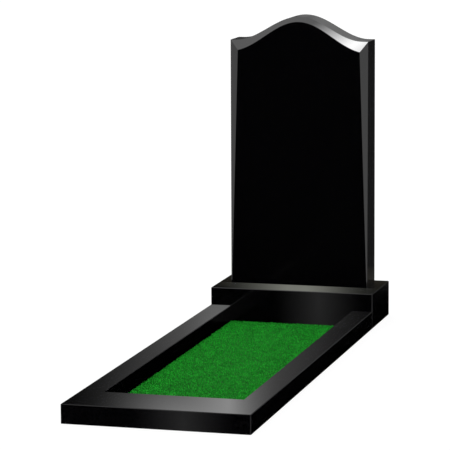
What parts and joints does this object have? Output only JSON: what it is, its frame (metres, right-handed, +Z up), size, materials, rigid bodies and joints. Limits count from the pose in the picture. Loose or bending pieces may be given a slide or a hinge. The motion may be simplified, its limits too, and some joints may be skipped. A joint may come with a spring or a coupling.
{
  "type": "headstone",
  "caption": "Wave-topped polished black stone grave monument with bevelled front panel, plinth, rectangular kerb and clipped green turf bed.",
  "frame": {"origin": "at ground level, in the middle of the whole footprint", "axes": "+X across the grave to the viewer's right, +Y from the foot towards the headstone, +Z up"},
  "size_m": [0.6, 1.94, 1.1033],
  "materials": {
    "headstone_granite": "mirror-polished black granite (gabbro)",
    "plinth_granite": "mirror-polished black granite (gabbro)",
    "kerb_granite": "mirror-polished black granite (gabbro)",
    "turf": "short clipped grass, matt"
  },
  "bodies": {
    "root": {"headstone": "headstone_granite", "plinth": "plinth_granite", "kerb_left": "kerb_granite", "kerb_right": "kerb_granite", "kerb_foot": "kerb_granite", "turf": "turf"}
  },
  "joints": []
}
